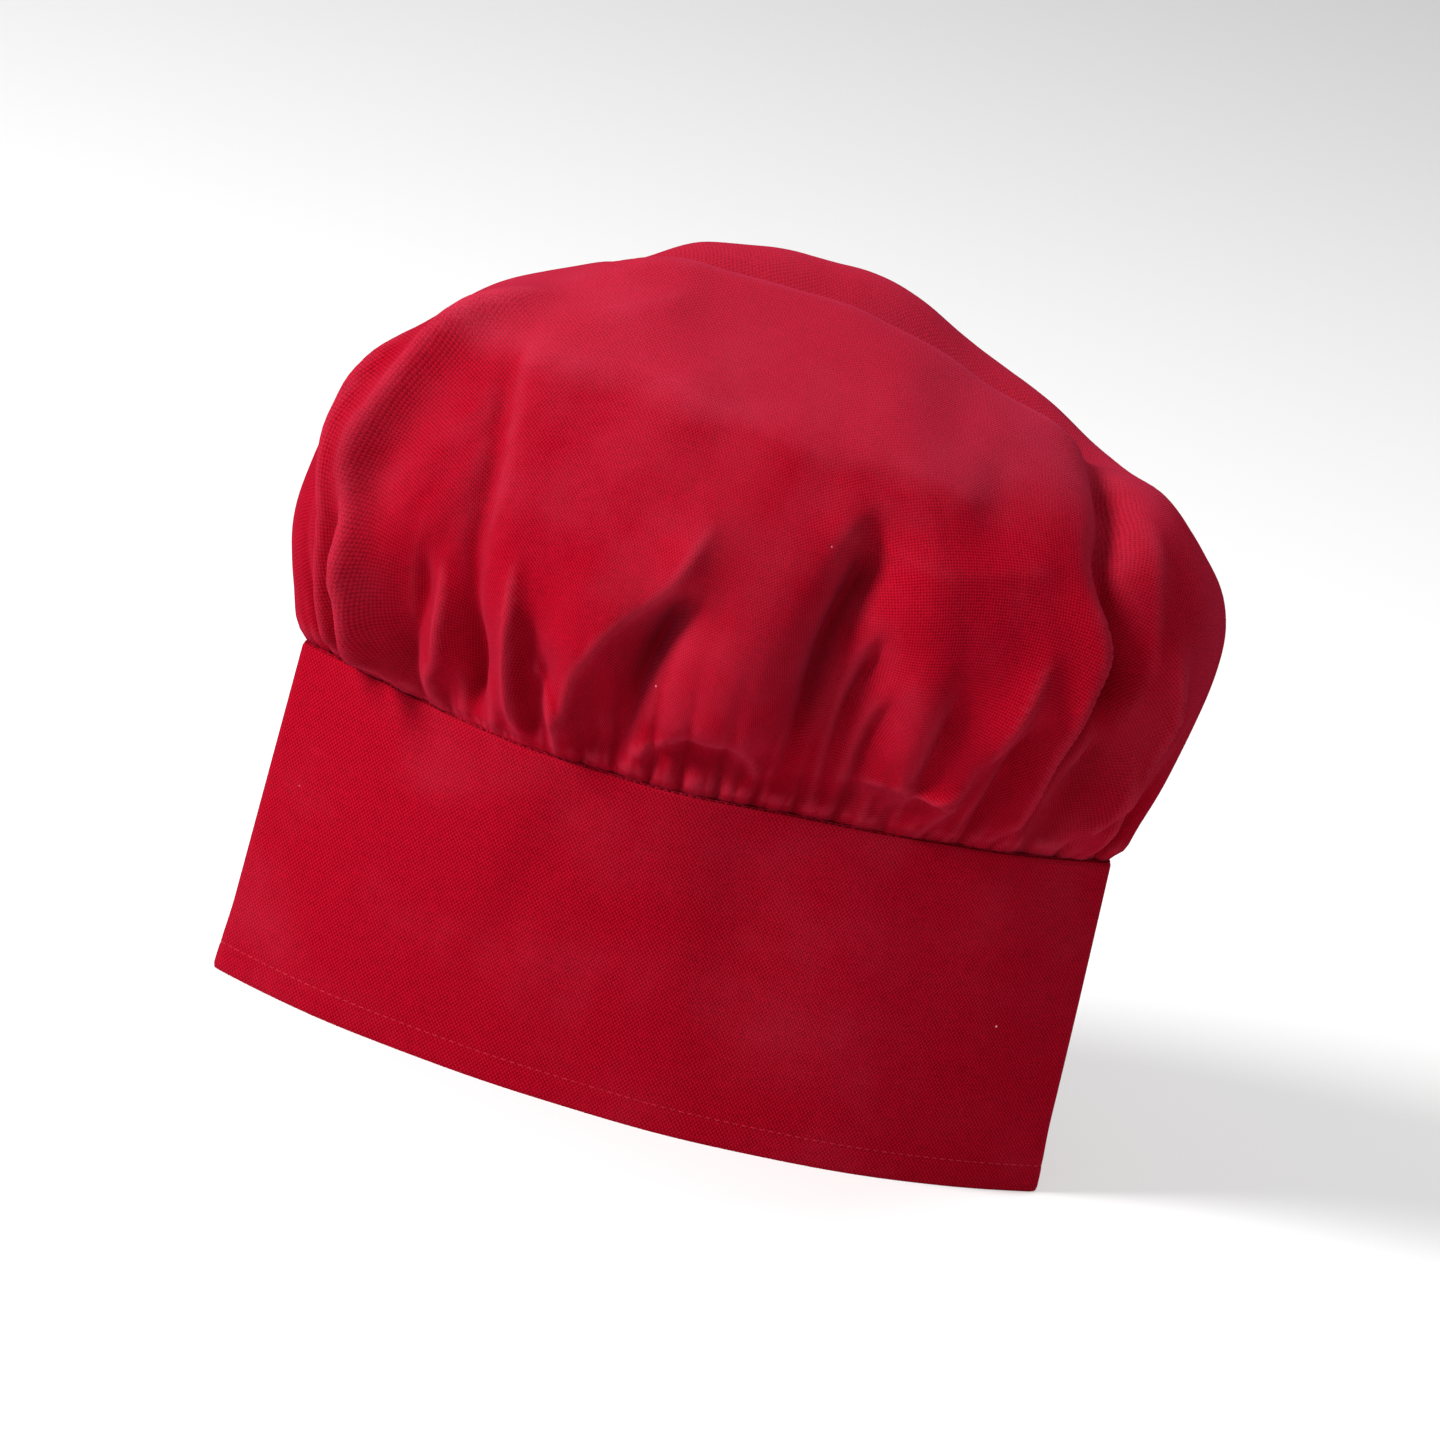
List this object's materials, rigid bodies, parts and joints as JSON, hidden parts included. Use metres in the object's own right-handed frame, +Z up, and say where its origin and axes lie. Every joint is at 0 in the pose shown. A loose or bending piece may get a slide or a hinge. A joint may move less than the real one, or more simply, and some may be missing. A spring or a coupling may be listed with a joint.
{
  "type": "chef toque",
  "caption": "Adult chef's toque: stiffened cotton band with hook-and-loop back tab and a puffy gathered cotton crown, standing on its rim.",
  "frame": {"origin": "bottom centre of the bounding box: the middle of the hem, on the surface the hat stands on", "axes": "+X to the wearer's left as seen from the front, along the band's width; -Y is the front; +Z is up"},
  "size_m": [0.304, 0.1508, 0.2828],
  "materials": {
    "crown_cotton": "plain weave cotton, matte, slightly napped",
    "band_cotton": "plain weave cotton, matte, pressed",
    "interfacing": "white fusible non-woven",
    "sewing_thread": "polyester thread, slight sheen",
    "gathering_thread": "polyester thread, slight sheen",
    "overlock_thread": "overlock polyester yarn, fluffy",
    "hook_tape": "woven nylon tape with hooks",
    "loop_tape": "brushed nylon loop pile",
    "label_ribbon": "white woven satin ribbon, blank"
  },
  "bodies": {
    "root": {"band_inner_panel": "band_cotton", "band_interfacing": "interfacing", "band_outer_panel": "band_cotton", "crown_fabric": "crown_cotton", "crown_seam_stitch": "sewing_thread", "gathering_thread_lower": "gathering_thread", "gathering_thread_upper": "gathering_thread", "hem_bobbin_stitch": "sewing_thread", "hem_topstitch": "sewing_thread", "label_stitch": "label_ribbon", "loop_strip_lower": "loop_tape", "loop_strip_upper": "loop_tape", "seam_overlock_thread": "overlock_thread", "tab_root_flange": "band_cotton", "tab_root_topstitch_inner": "sewing_thread", "tab_root_topstitch_outer": "sewing_thread"},
    "closure_tab": {"tab_outer_panel": "band_cotton", "tab_interfacing": "interfacing", "tab_inner_panel": "band_cotton", "hook_patch_lower": "hook_tape", "hook_patch_upper": "hook_tape", "tab_edge_topstitch": "sewing_thread", "tab_hem_topstitch": "sewing_thread"},
    "care_label_loop": {"care_label": "label_ribbon"}
  },
  "joints": [
    {"name": "tab_peel", "type": "hinge", "parent": "root", "child": "closure_tab", "pos_m": [0.037, 0.04734, 0.0575], "axis": [0, 0, -1], "range_deg": [0, 120]},
    {"name": "label_swing", "type": "hinge", "parent": "root", "child": "care_label_loop", "pos_m": [-0.06034, 0.03476, 0.111], "axis": [-0.9659, -0.2588, 0], "range_deg": [0, 70]}
  ]
}
